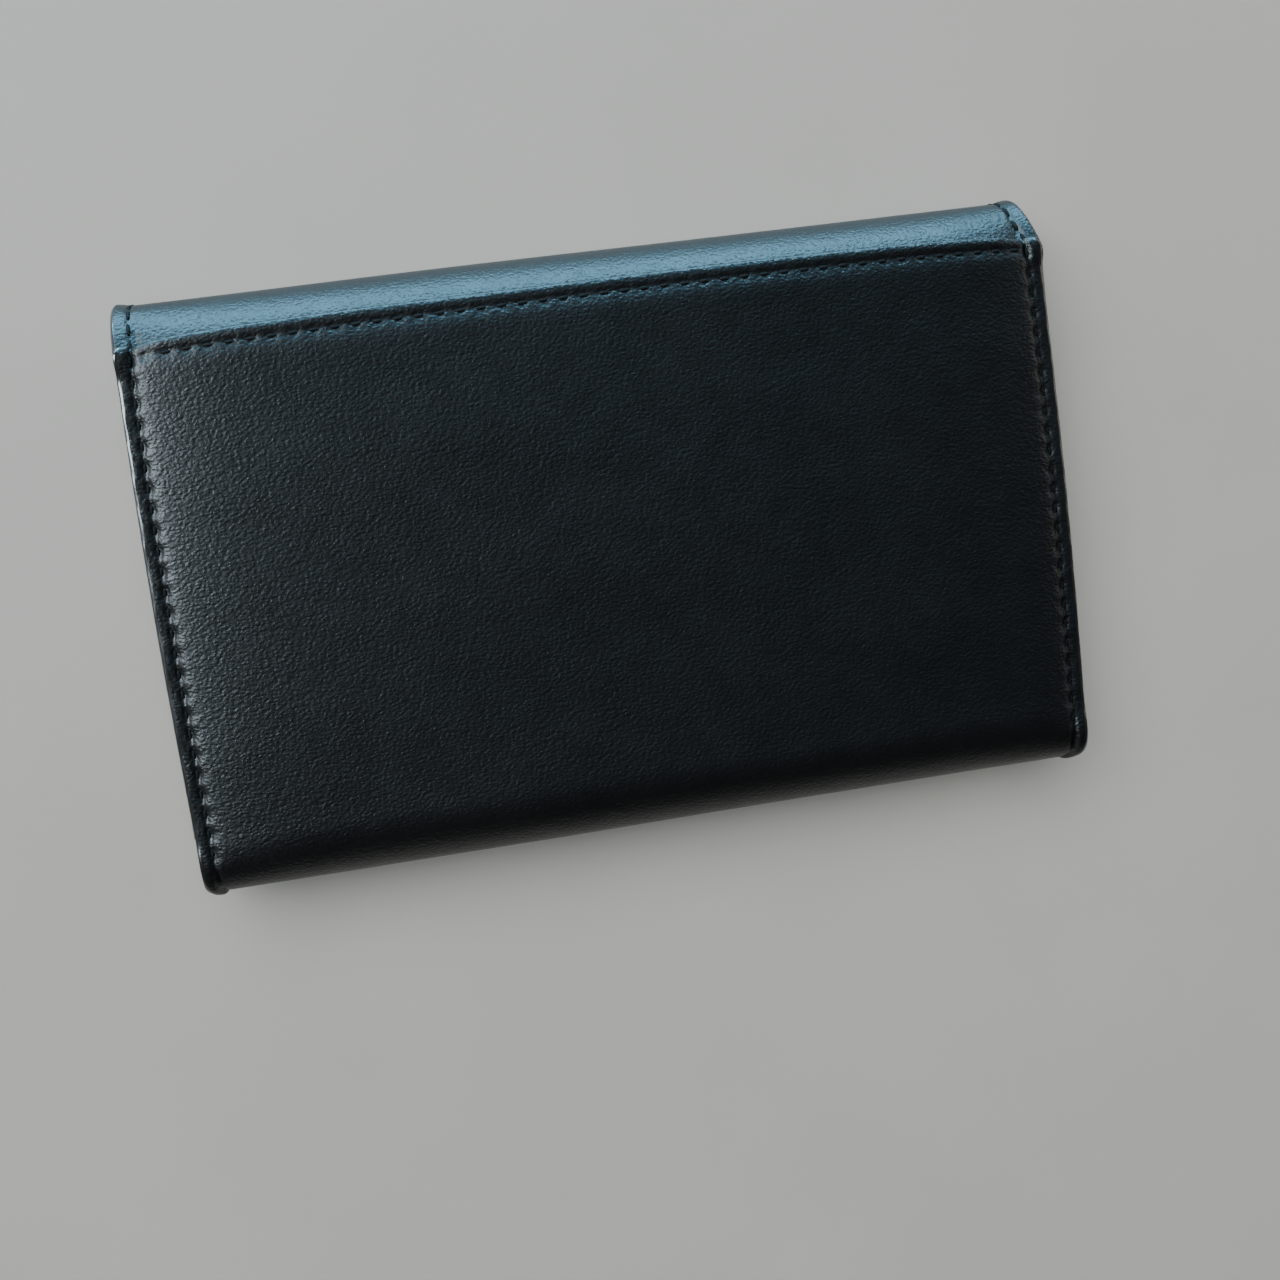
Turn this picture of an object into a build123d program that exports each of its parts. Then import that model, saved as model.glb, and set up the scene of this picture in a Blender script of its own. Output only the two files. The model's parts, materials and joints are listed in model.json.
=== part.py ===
from build123d import *
from math import cos, radians, sin, sqrt
import os

# Card holder in black leather: a padded back and front, a fan of card pockets and a flap.
# It lies closed on its flap, with the back panel up. X runs across the body, +Y towards
# the fold of the flap, and +Z up through the back panel. The origin is the centre of the
# bounding box's bottom face, on the outer face of the flap. Sizes are in millimetres.

os.makedirs("parts", exist_ok=True)

# Overall size
body_width = 115.0
body_length = 73.2

# Thickness of each material
leather = 1.0
flap_lining_thickness = 0.6
flap_board_thickness = 0.3
body_lining_thickness = 0.4
board_thickness = 0.5
foam_thickness = 1.1
leaf_thickness = 0.5

# The flap: a roll from under the back panel's top edge to the leaf under the front
roll_radius = 8.7
flap_width = 112.4
flap_tip_width = 104.0
flap_tip_y = -20.0
flap_corner_radius = 9.0
back_edge_angle = 20.0
roll_joint_angles = (34.0, 53.5, 73.0, 92.5, 112.0, 131.5, 151.0, 170.5)
strip_gap_angle = 0.4
tail_start_y = 21.5
tail_width = 104.0

# The back and front panels: a padded crown with a flat wing along each side seam
wing_width = 2.3
crown_flat_half = 44.0
front_gap = 1.4
front_top_y = 22.0
pad_margin = 1.3
pad_width = 103.0
board_width = 104.0
back_lining_top_y = 27.0
fold_corner_radius = 4.0

# The card pockets: divider leaves between two bellows
pocket_count = 8
leaf_width = 106.0
leaf_bottom_y = -32.5
leaf_top_y = 24.5
leaf_corner_radius = 3.0
scoop_radius = 60.0
scoop_depth = 2.5
gusset_inner_x = 54.0
gusset_outer_x = 56.4
gusset_half = 0.8
gusset_end_gap = 0.05
gusset_start_y = -28.0
gusset_end_y = 21.0

# Stitches
stitch_pitch = 2.5
stitch_length = 1.7
stitch_width = 0.45
stitch_height = 0.3
stitch_lift = 0.02
seam_inset = 1.8
top_seam_angle = 12.0
top_seam_count = 43
side_seam_count = 23
flap_seam_inset = 1.5

# The snap fastener
snap_y = -12.0
cap_radius = 6.0
cap_thickness = 0.5
post_radius = 1.4
socket_radius = 4.8
socket_hole_radius = 2.3
socket_height = 0.95
stud_flange_radius = 4.2
stud_flange_height = 0.25
stud_radius = 1.8
stud_reach = 1.0
post_flange_radius = 3.6
post_flange_height = 0.3

# Levels that follow from the sizes above
half_width = body_width / 2
seam_x = half_width - seam_inset
flap_thickness = leather + flap_lining_thickness
pad_height = foam_thickness + board_thickness
back_inner = 2 * roll_radius
back_outer = back_inner + leather
back_board_bottom = back_inner - pad_height
back_lining_bottom = back_board_bottom - body_lining_thickness
front_outer = flap_thickness + front_gap
fold_radius = (back_outer - front_outer) / 2
fold_z = front_outer + fold_radius
fold_y = -body_length / 2 + fold_radius
roll_y = body_length / 2 - roll_radius
roll_z = roll_radius
front_lining_top = 2 * fold_z - back_lining_bottom
leaf_pitch = (back_lining_bottom - front_lining_top) / pocket_count
crown_run = half_width - wing_width - crown_flat_half
crown_radius = (crown_run**2 + pad_height**2) / (2 * pad_height)


def back_plane(y):
    """Upright plane across the body at y, with its drawing's height as Z."""
    return Plane(origin=(0, y, 0), x_dir=(1, 0, 0), z_dir=(0, -1, 0))


def front_plane(y):
    """The same plane turned over, so that a back section drawn on it serves the front."""
    return Plane(origin=(0, y, 2 * fold_z), x_dir=(1, 0, 0), z_dir=(0, 1, 0))


def crown_fall(x, radius):
    """How far a crown of this edge radius has fallen at x."""
    past_flat = max(abs(x) - crown_flat_half, 0)
    return radius - sqrt(radius**2 - past_flat**2)


def crown_point(x, top, radius):
    """Point on a crown's surface at x."""
    return (x, top - crown_fall(x, radius))


def crowned_section(top, radius, half, bottom):
    """Section with a crowned top, straight sides at half and a flat bottom."""
    middle_x = (crown_flat_half + half) / 2
    with BuildSketch() as section:
        with BuildLine():
            Line((0, top), (crown_flat_half, top))
            ThreePointArc(
                (crown_flat_half, top),
                crown_point(middle_x, top, radius),
                crown_point(half, top, radius),
            )
            Polyline(crown_point(half, top, radius), (half, bottom), (0, bottom), (0, top))
        make_face()
        mirror(about=Plane.YZ)
    return section.sketch


def leather_section():
    """Section of a panel's leather: the crown and a flat wing each side."""
    inner_radius = crown_radius - leather
    outer_end = half_width - wing_width
    inner_end = crown_flat_half + sqrt(inner_radius**2 - (inner_radius - pad_height) ** 2)
    outer_middle = (crown_flat_half + outer_end) / 2
    inner_middle = (crown_flat_half + inner_end) / 2
    with BuildSketch() as section:
        with BuildLine():
            Line((0, back_outer), (crown_flat_half, back_outer))
            ThreePointArc(
                (crown_flat_half, back_outer),
                crown_point(outer_middle, back_outer, crown_radius),
                (outer_end, back_outer - pad_height),
            )
            Polyline(
                (outer_end, back_outer - pad_height),
                (half_width, back_outer - pad_height),
                (half_width, back_board_bottom),
                (inner_end, back_board_bottom),
            )
            ThreePointArc(
                (inner_end, back_board_bottom),
                crown_point(inner_middle, back_inner, inner_radius),
                (crown_flat_half, back_inner),
            )
            Polyline((crown_flat_half, back_inner), (0, back_inner), (0, back_outer))
        make_face()
        mirror(about=Plane.YZ)
    return section.sketch


def roll_section(outer, inner, start_angle, end_angle):
    """Sector of the flap's roll, with angles from the top of the roll towards +Y."""
    turn = end_angle - start_angle
    with BuildSketch() as section:
        with BuildLine():
            outer_arc = CenterArc((roll_y, roll_z), outer, 90 - start_angle, -turn)
            inner_arc = CenterArc((roll_y, roll_z), inner, 90 - start_angle, -turn)
            Line(outer_arc @ 0, inner_arc @ 0)
            Line(outer_arc @ 1, inner_arc @ 1)
        make_face()
    return section.sketch


def flap_outline(inset, start_y):
    """Plan of the flap's leaf, drawn inset from its edge and starting at start_y."""
    straight_half = flap_width / 2 - inset
    tip_half = flap_tip_width / 2 - inset
    tip_y = flap_tip_y + inset
    with BuildSketch() as outline:
        with BuildLine():
            FilletPolyline(
                (-straight_half, start_y),
                (-tip_half, tip_y),
                (tip_half, tip_y),
                (straight_half, start_y),
                radius=flap_corner_radius - inset,
            )
            Line((straight_half, start_y), (-straight_half, start_y))
        make_face()
    return outline.sketch


def spaced(count, pitch):
    """Positions of count stitches, centred on zero."""
    return [(i - (count - 1) / 2) * pitch for i in range(count)]


def finish(piece, name):
    """Label a finished piece and write it out."""
    piece.label = name
    export_step(piece, f"parts/{name}.step")


roll_axis = Axis((0, roll_y, roll_z), (-1, 0, 0))
fold_axis = Axis((0, fold_y, fold_z), (1, 0, 0))
seam_middle_y = (fold_y + roll_y) / 2

# Back panel leather: flat from the bottom fold to the roll, then over the roll's top
with BuildPart() as back_panel:
    with BuildSketch(back_plane(roll_y)):
        add(leather_section())
    extrude(amount=roll_y - fold_y)
    with BuildSketch(back_plane(roll_y)):
        add(leather_section())
    revolve(axis=roll_axis, revolution_arc=back_edge_angle)
finish(back_panel.part, "back_panel")

# Padding of the back: foam under the leather, on a stiff board, with a lining inside
with BuildPart() as back_foam:
    with BuildSketch(back_plane(tail_start_y - 0.5)):
        add(
            crowned_section(
                back_inner, crown_radius - leather, pad_width / 2, back_inner - foam_thickness
            )
        )
    extrude(amount=tail_start_y - 0.5 - fold_y - pad_margin)
finish(back_foam.part, "back_foam")

with BuildPart() as back_board:
    with BuildSketch(Plane.XY.offset(back_board_bottom)):
        with Locations((0, (fold_y + pad_margin + tail_start_y - 0.5) / 2)):
            Rectangle(board_width, tail_start_y - 0.5 - fold_y - pad_margin)
    extrude(amount=board_thickness)
finish(back_board.part, "back_board")

with BuildPart() as back_lining:
    with BuildSketch(Plane.XY.offset(back_lining_bottom)):
        with Locations((0, (fold_y + back_lining_top_y) / 2)):
            Rectangle(body_width, back_lining_top_y - fold_y)
    extrude(amount=body_lining_thickness)
finish(back_lining.part, "back_lining")

# Tail of the flap: glued under the back leather, then bare from that leather's edge on
with BuildPart() as flap_tail:
    with BuildSketch(back_plane(roll_y)):
        add(
            crowned_section(
                back_inner, crown_radius - leather, tail_width / 2, back_board_bottom
            )
        )
    extrude(amount=roll_y - tail_start_y)
    with BuildSketch(back_plane(roll_y)):
        add(
            crowned_section(
                back_inner, crown_radius - leather, tail_width / 2, back_board_bottom
            )
        )
    revolve(axis=roll_axis, revolution_arc=back_edge_angle + strip_gap_angle)
    with BuildSketch(Plane.YZ):
        add(
            roll_section(
                roll_radius,
                roll_radius - flap_thickness,
                back_edge_angle + strip_gap_angle,
                roll_joint_angles[0] - strip_gap_angle / 2,
            )
        )
    extrude(amount=flap_width / 2, both=True)
finish(flap_tail.part, "flap_tail")

# Strips of the flap's roll, each a layer of leather outside and a layer of lining inside
for number in range(1, len(roll_joint_angles)):
    strip_start = roll_joint_angles[number - 1] + strip_gap_angle / 2
    strip_end = roll_joint_angles[number] - strip_gap_angle / 2
    with BuildPart() as spine_leather:
        with BuildSketch(Plane.YZ):
            add(roll_section(roll_radius, roll_radius - leather, strip_start, strip_end))
        extrude(amount=flap_width / 2, both=True)
    finish(spine_leather.part, f"flap_spine_{number}")
    with BuildPart() as spine_lining:
        with BuildSketch(Plane.YZ):
            add(
                roll_section(
                    roll_radius - leather, roll_radius - flap_thickness, strip_start, strip_end
                )
            )
        extrude(amount=flap_width / 2, both=True)
    finish(spine_lining.part, f"spine_lining_{number}")

# Leaf of the flap: leather with the snap's cap let in flush, a board and a lining
leaf_arc_start = roll_joint_angles[-1] + strip_gap_angle / 2

with BuildPart() as flap_leather:
    with BuildSketch(Plane.YZ):
        add(roll_section(roll_radius, roll_radius - leather, leaf_arc_start, 180))
    extrude(amount=flap_width / 2, both=True)
    with BuildSketch(Plane.XY):
        add(flap_outline(0, roll_y))
    extrude(amount=leather)
    with BuildSketch(Plane.XY):
        with Locations((0, snap_y)):
            Circle(cap_radius)
    extrude(amount=cap_thickness, mode=Mode.SUBTRACT)
    with BuildSketch(Plane.XY):
        with Locations((0, snap_y)):
            Circle(post_radius)
    extrude(amount=leather, mode=Mode.SUBTRACT)
finish(flap_leather.part, "flap_leather")

with BuildPart() as flap_board:
    with BuildSketch(Plane.XY.offset(leather)):
        add(flap_outline(4.0, roll_y - 4.0))
        with Locations((0, snap_y)):
            Circle(post_radius, mode=Mode.SUBTRACT)
    extrude(amount=flap_board_thickness)
finish(flap_board.part, "flap_board")

with BuildPart() as flap_lining:
    with BuildSketch(Plane.YZ):
        add(
            roll_section(
                roll_radius - leather, roll_radius - flap_thickness, leaf_arc_start, 180
            )
        )
    extrude(amount=flap_width / 2, both=True)
    with BuildSketch(Plane.XY.offset(leather)):
        add(flap_outline(0, roll_y))
    extrude(amount=flap_lining_thickness)
    with BuildSketch(Plane.XY.offset(leather)):
        add(flap_outline(4.0, roll_y - 4.0))
    extrude(amount=flap_board_thickness, mode=Mode.SUBTRACT)
    with BuildSketch(Plane.XY.offset(leather)):
        with Locations((0, snap_y)):
            Circle(post_radius)
    extrude(amount=flap_lining_thickness, mode=Mode.SUBTRACT)
finish(flap_lining.part, "flap_lining")

# Snap: the cap and its post hold the socket on the flap; the front carries the stud
with BuildPart() as snap_cap:
    with BuildSketch(Plane.XY):
        with Locations((0, snap_y)):
            Circle(cap_radius)
    extrude(amount=cap_thickness)
    with BuildSketch(Plane.XY):
        with Locations((0, snap_y)):
            Circle(post_radius)
    extrude(amount=flap_thickness)
finish(snap_cap.part, "snap_cap")

with BuildPart() as snap_socket:
    with BuildSketch(Plane.XY.offset(flap_thickness)):
        with Locations((0, snap_y)):
            Circle(socket_radius)
            Circle(socket_hole_radius, mode=Mode.SUBTRACT)
    extrude(amount=socket_height)
finish(snap_socket.part, "snap_socket")

with BuildPart() as snap_stud:
    with BuildSketch(Plane.XY.offset(front_outer - stud_flange_height)):
        with Locations((0, snap_y)):
            Circle(stud_flange_radius)
    extrude(amount=stud_flange_height)
    with BuildSketch(Plane.XY.offset(front_outer - stud_reach)):
        with Locations((0, snap_y)):
            Circle(stud_radius)
    extrude(amount=stud_reach)
finish(snap_stud.part, "snap_stud")

with BuildPart() as snap_post:
    with BuildSketch(Plane.XY.offset(front_outer)):
        with Locations((0, snap_y)):
            Circle(post_radius)
    extrude(amount=front_lining_top - front_outer)
    with BuildSketch(Plane.XY.offset(front_lining_top)):
        with Locations((0, snap_y)):
            Circle(post_flange_radius)
    extrude(amount=post_flange_height)
finish(snap_post.part, "snap_post")

# Front panel: the same layers as the back, turned over, with a hole for the snap's post
front_length = front_top_y - fold_y
front_pad_length = front_length - 2 * pad_margin

with BuildPart() as post_hole:
    with BuildSketch(Plane.XY.offset(front_outer - 1)):
        with Locations((0, snap_y)):
            Circle(post_radius)
    extrude(amount=front_lining_top - front_outer + 2)

with BuildPart() as front_panel:
    with BuildSketch(front_plane(fold_y)):
        add(leather_section())
    extrude(amount=front_length)
    add(post_hole.part, mode=Mode.SUBTRACT)
finish(front_panel.part, "front_panel")

with BuildPart() as front_foam:
    with BuildSketch(front_plane(fold_y + pad_margin)):
        add(
            crowned_section(
                back_inner, crown_radius - leather, pad_width / 2, back_inner - foam_thickness
            )
        )
    extrude(amount=front_pad_length)
    add(post_hole.part, mode=Mode.SUBTRACT)
finish(front_foam.part, "front_foam")

with BuildPart() as front_board:
    with BuildSketch(Plane.XY.offset(2 * fold_z - back_inner + foam_thickness)):
        with Locations((0, (fold_y + front_top_y) / 2)):
            Rectangle(board_width, front_pad_length)
    extrude(amount=board_thickness)
    add(post_hole.part, mode=Mode.SUBTRACT)
finish(front_board.part, "front_board")

with BuildPart() as front_lining:
    with BuildSketch(Plane.XY.offset(front_lining_top - body_lining_thickness)):
        with Locations((0, (fold_y + front_top_y) / 2)):
            Rectangle(body_width, front_length)
    extrude(amount=body_lining_thickness)
    add(post_hole.part, mode=Mode.SUBTRACT)
finish(front_lining.part, "front_lining")

# Bottom fold: the outer leather carried round from the back panel to the front panel
with BuildPart() as bottom_fold:
    with BuildSketch(back_plane(fold_y)):
        add(leather_section())
    revolve(axis=fold_axis, revolution_arc=180)
    with BuildSketch(Plane.XY):
        RectangleRounded(body_width, body_length, fold_corner_radius)
    extrude(amount=back_outer, mode=Mode.INTERSECT)
finish(bottom_fold.part, "bottom_fold")

# Divider leaves, each with a shallow scoop in its top edge for a thumb
for number in range(1, pocket_count):
    leaf_level = front_lining_top + number * leaf_pitch - leaf_thickness / 2
    with BuildPart() as leaf:
        with BuildSketch(Plane.XY.offset(leaf_level)):
            with Locations((0, (leaf_bottom_y + leaf_top_y) / 2)):
                RectangleRounded(leaf_width, leaf_top_y - leaf_bottom_y, leaf_corner_radius)
            with Locations((0, leaf_top_y + scoop_radius - scoop_depth)):
                Circle(scoop_radius, mode=Mode.SUBTRACT)
        extrude(amount=leaf_thickness)
    finish(leaf.part, f"leaf_{number}")

# Gussets: a bellows each side, folded in at each leaf and out between them
fold_line = [(gusset_outer_x, front_lining_top + gusset_end_gap)]
for number in range(1, pocket_count):
    leaf_middle = front_lining_top + number * leaf_pitch
    fold_line.append((gusset_inner_x, leaf_middle))
    fold_line.append((gusset_outer_x, leaf_middle + leaf_pitch / 2))
fold_line[-1] = (gusset_outer_x, back_lining_bottom - gusset_end_gap)
outer_side = [(x + gusset_half, z) for x, z in fold_line]
inner_side = [(x - gusset_half, z) for x, z in reversed(fold_line)]

for side, side_name in ((-1, "left"), (1, "right")):
    with BuildPart() as gusset:
        with BuildSketch(back_plane(gusset_end_y)):
            with BuildLine():
                Polyline([(side * x, z) for x, z in outer_side + inner_side], close=True)
            make_face()
        extrude(amount=gusset_end_y - gusset_start_y)
    finish(gusset.part, f"{side_name}_gusset")

# Stitches of the back panel's top seam, one along each 2.5 mm of the roll
top_seam_radius = back_outer - roll_z
top_seam_plane = Plane(
    origin=(
        0,
        roll_y + top_seam_radius * sin(radians(top_seam_angle)),
        roll_z + top_seam_radius * cos(radians(top_seam_angle)),
    ),
    x_dir=(1, 0, 0),
    z_dir=(0, sin(radians(top_seam_angle)), cos(radians(top_seam_angle))),
)
with BuildPart() as top_seam_thread:
    for x in spaced(top_seam_count, stitch_pitch):
        fall = crown_fall(abs(x) - stitch_length / 2, crown_radius)
        with BuildSketch(top_seam_plane.offset(stitch_lift - fall)):
            with Locations((x, 0)):
                SlotOverall(stitch_length, stitch_width)
        extrude(amount=stitch_height)
finish(top_seam_thread.part, "top_seam_thread")

# Stitches of the side seams, on the wings of the back and of the front
wing_level = back_outer - pad_height + stitch_lift
for side, side_name in ((-1, "left"), (1, "right")):
    with BuildPart() as back_seam:
        with BuildSketch(Plane.XY.offset(wing_level)):
            for y in spaced(side_seam_count, stitch_pitch):
                with Locations((side * seam_x, seam_middle_y + y)):
                    SlotOverall(stitch_length, stitch_width, rotation=90)
        extrude(amount=stitch_height)
    finish(back_seam.part, f"{side_name}_seam_thread")

front_seam_count = int(front_length / stitch_pitch)
with BuildPart() as front_seam_thread:
    with BuildSketch(Plane.XY.offset(2 * fold_z - wing_level - stitch_height)):
        for side in (-1, 1):
            for y in spaced(front_seam_count, stitch_pitch):
                with Locations((side * seam_x, (fold_y + front_top_y) / 2 + y)):
                    SlotOverall(stitch_length, stitch_width, rotation=90)
    extrude(amount=stitch_height)
finish(front_seam_thread.part, "front_seam_thread")

# Stitches round the flap's tip, on its lining
flap_seam_half = flap_tip_width / 2 - flap_corner_radius
flap_seam_count = int(2 * flap_seam_half / stitch_pitch)
with BuildPart() as flap_seam_thread:
    with BuildSketch(Plane.XY.offset(flap_thickness + stitch_lift)):
        for x in spaced(flap_seam_count, stitch_pitch):
            with Locations((x, flap_tip_y + flap_seam_inset)):
                SlotOverall(stitch_length, stitch_width)
    extrude(amount=stitch_height)
finish(flap_seam_thread.part, "flap_seam_thread")
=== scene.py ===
import json
import math

import bpy
import numpy as np
from mathutils import Matrix, Vector

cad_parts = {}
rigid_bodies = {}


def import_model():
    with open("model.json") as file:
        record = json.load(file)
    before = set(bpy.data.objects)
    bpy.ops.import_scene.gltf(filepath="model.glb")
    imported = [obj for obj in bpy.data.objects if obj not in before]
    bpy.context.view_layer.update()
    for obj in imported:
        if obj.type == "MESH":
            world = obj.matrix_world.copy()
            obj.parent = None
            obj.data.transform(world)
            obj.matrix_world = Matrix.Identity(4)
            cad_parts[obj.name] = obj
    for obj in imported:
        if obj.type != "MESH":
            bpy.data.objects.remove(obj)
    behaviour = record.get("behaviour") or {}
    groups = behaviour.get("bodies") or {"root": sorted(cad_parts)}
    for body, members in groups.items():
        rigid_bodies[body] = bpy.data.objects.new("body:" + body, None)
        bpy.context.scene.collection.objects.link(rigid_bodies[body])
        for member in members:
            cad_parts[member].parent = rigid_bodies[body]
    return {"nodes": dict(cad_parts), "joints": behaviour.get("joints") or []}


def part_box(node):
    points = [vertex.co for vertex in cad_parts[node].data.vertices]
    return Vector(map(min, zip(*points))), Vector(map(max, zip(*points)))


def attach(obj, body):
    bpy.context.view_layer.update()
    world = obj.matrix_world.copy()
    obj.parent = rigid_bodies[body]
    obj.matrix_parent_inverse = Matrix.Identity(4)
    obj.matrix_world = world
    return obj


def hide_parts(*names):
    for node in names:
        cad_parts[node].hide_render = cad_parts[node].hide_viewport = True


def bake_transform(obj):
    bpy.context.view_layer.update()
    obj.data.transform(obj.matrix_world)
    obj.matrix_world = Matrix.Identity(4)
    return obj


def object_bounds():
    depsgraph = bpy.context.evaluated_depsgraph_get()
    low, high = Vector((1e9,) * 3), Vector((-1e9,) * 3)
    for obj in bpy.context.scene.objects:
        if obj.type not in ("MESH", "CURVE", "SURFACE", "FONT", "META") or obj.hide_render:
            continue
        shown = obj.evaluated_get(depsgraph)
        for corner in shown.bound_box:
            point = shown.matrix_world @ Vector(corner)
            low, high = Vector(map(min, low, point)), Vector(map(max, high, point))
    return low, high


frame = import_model()
cad_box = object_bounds()

# The card holder lies closed on its flap, back panel up. Sizes are in metres, in the CAD's
# frame: X across the body, +Y towards the fold of the flap, +Z up through the back panel.
MM = 0.001
HALF = cad_box[1][0]
BACK_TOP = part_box("back_panel")[1].z
ROLL_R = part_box("flap_tail")[1].z / 2
ROLL_Y = cad_box[1][1] - ROLL_R
FOLD_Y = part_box("back_panel")[0].y
FRONT_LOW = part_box("front_panel")[0].z
FRONT_TOP_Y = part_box("front_panel")[1].y
FRONT_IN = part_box("front_lining")[1].z
BACK_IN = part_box("back_lining")[0].z
FOLD_Z = (BACK_TOP + FRONT_LOW) / 2
FLAP_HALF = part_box("flap_leather")[1].x
FLAP_TIP_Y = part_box("flap_leather")[0].y
FLAP_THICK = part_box("flap_lining")[0].z + 0.6 * MM
SNAP_Y = (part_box("snap_cap")[0].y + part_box("snap_cap")[1].y) / 2
TAIL_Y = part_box("flap_tail")[0].y
LEATHER = 1.0 * MM
BODIES = ["front"] + [f"leaf_{n}" for n in range(1, 8)] + ["back"]
LEVELS = [FRONT_IN]
LEVELS += [(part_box(n)[0].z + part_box(n)[1].z) / 2 for n in BODIES[1:-1]]
LEVELS += [BACK_IN]
JOINTS = {joint["name"]: joint for joint in frame["joints"]}
ROLL_JOINTS = [name for name in JOINTS if name.startswith("flap_")]

# Shape of the body's leather, as heights above its flat wings
WING_DROP = 1.9 * MM
WING_Z = BACK_TOP - WING_DROP
WING_R = WING_Z - FOLD_Z
ROLL_WING_R = WING_Z - ROLL_R
WING_THICK = 0.8 * MM
SEAM_INSET = 1.8 * MM
SEAM_X = HALF - SEAM_INSET
STITCH = 2.5 * MM
SEAM_LIFT = 0.5 * MM
CROWN = 1.6 * MM
CROWN_REACH = 7.0 * MM
BULGE = 0.45 * MM
EDGE_ANGLE = math.radians(22.0)
EDGE_ARCH = 0.5 * MM
RIDGE = 1.35 * MM
RIDGE_RISE = 0.55 * MM
EDGE_ROUND = 0.7 * MM
TURN_ROUND = 0.8 * MM
TAB_RISE = 0.4 * MM
CORNER_LIFT = 0.75 * MM
CORNER = 2.1 * MM
STRAIGHT = ROLL_Y - FOLD_Y
FOLD_LENGTH = math.pi * WING_R
FRONT_LENGTH = FRONT_TOP_Y - FOLD_Y
FOLD_END = STRAIGHT + FOLD_LENGTH
RIM_COLUMNS = 5
SLIVER = 0.004 * MM

# Side seams: where the crown starts to rise, how far a stitch pulls it in, and the groove
CROWN_START = 0.26 * MM
CROWN_PULL = 0.22 * MM
PULL_REACH = 1.2 * MM
SEAM_SOFT = 0.45 * MM
GROOVE_WIDTH = 0.36 * MM
GROOVE_DEPTH = 0.16
GROOVE_STITCH = 0.12
GROOVE_AT_FOLD = 0.2

# Cross seams: the valley at the stitches, in mm deep, and the ridge's height at its ends
VALLEY_DEPTH = 0.1
VALLEY_STITCH = 0.08
VALLEY_INSIDE = 0.75 * MM
VALLEY_RIDGE = 0.3 * MM
VALLEY_REACH = 0.9 * MM
VALLEY_PULL = 0.08 * MM
RIDGE_END_SHARE = 0.35
RIDGE_END_REACH = 4 * MM

# Wings: the width over which the padding stops, and the corner beside the roll
PAD_REACH = 1.2 * MM
CORNER_REACH = 3.5 * MM
TOP_CORNER = 1.3 * MM
WING_SKIVE = 0.4 * MM


def smooth(t):
    """Smooth step from 0 to 1."""
    t = np.clip(t, 0, 1)
    return t * t * (3 - 2 * t)


def wobble(u, v, seed, reach=130):
    """Slow, repeatable unevenness, between about -1 and 1, at two places in metres."""
    total = 0
    for k in range(1, 5):
        a, b = math.sin(seed * 12.9 + k * 78.2), math.cos(seed * 4.1 + k * 37.7)
        total = total + np.sin(k * reach * (a * u + b * v) + seed + 2.1 * k) / k
    return total / 2


def steps(*stops):
    """Stations through (place, step) stops: each step holds up to the next place."""
    line = [np.array([stops[0][0]])]
    for (start, step), (end, _) in zip(stops, stops[1:]):
        count = max(1, round(abs(end - start) / step))
        line.append(np.linspace(start, end, count + 1)[1:])
    return np.concatenate(line)


def rounded(distance, radius):
    """Share of a sheet's thickness left near its rounded edge."""
    t = np.clip(distance / radius, 0, 1)
    return np.sqrt(np.maximum(0, 1 - (1 - t) ** 2))


# ---------------------------------------------------------------- meshes


def make_object(name, vertices, faces, materials, kinds=None):
    """Smooth mesh object from points, faces, materials and each face's material."""
    mesh = bpy.data.meshes.new(name)
    mesh.from_pydata([tuple(map(float, p)) for p in vertices], [], faces)
    for material in materials:
        mesh.materials.append(material)
    if kinds is not None:
        mesh.polygons.foreach_set("material_index", kinds)
    mesh.polygons.foreach_set("use_smooth", [True] * len(mesh.polygons))
    mesh.update()
    piece = bpy.data.objects.new(name, mesh)
    bpy.context.scene.collection.objects.link(piece)
    return piece


def shell(name, outer, inner, materials, rim):
    """Closed sheet from two grids of points, which share the points of their border.

    Its materials are the outer face's, the inner face's and the painted rim's. The rim is
    that many columns wide on each side.
    """
    rows, columns = outer.shape[:2]
    inside = np.zeros((rows, columns), bool)
    inside[1:-1, 1:-1] = True
    top = np.arange(rows * columns).reshape(rows, columns)
    low = top.copy()
    low[inside] = rows * columns + np.arange(inside.sum())
    vertices = np.concatenate([outer.reshape(-1, 3), inner[inside]])
    faces, kinds = [], []
    for side, grid in enumerate((top, low)):
        a, b, c, d = grid[:-1, :-1], grid[:-1, 1:], grid[1:, 1:], grid[1:, :-1]
        quads = np.stack([a, b, c, d] if side == 0 else [a, d, c, b], -1)
        column = np.arange(columns - 1)
        near = np.minimum(column, columns - 2 - column) < rim
        kind = np.where(near, 2, side)[None, :].repeat(rows - 1, 0)
        faces += quads.reshape(-1, 4).tolist()
        kinds += kind.reshape(-1).tolist()
    return make_object(name, vertices, faces, materials, kinds)


def capped(stations, cap_start, cap_end):
    """Adds a station just past each end that is a cut, so that its face stays crisp."""
    line = list(stations)
    if cap_start:
        line.insert(0, line[0] - SLIVER)
    if cap_end:
        line.append(line[-1] + SLIVER)
    return np.array(line)


def lathe(name, profile, centre, materials, segments=48):
    """Solid of revolution about an upright axis from (radius, height) points, ends closed."""
    vertices, faces = [], []
    for radius, height in profile:
        for k in range(segments):
            a = 2 * math.pi * k / segments
            x, y = centre[0] + radius * math.cos(a), centre[1] + radius * math.sin(a)
            vertices.append((x, y, height))
    for i in range(len(profile) - 1):
        for k in range(segments):
            n = (k + 1) % segments
            a, b = i * segments, (i + 1) * segments
            faces.append((a + k, a + n, b + n, b + k))
    faces.append(tuple(range(segments))[::-1])
    last = (len(profile) - 1) * segments
    faces.append(tuple(last + k for k in range(segments)))
    return make_object(name, vertices, faces, materials)


# ---------------------------------------------------------------- materials


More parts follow.
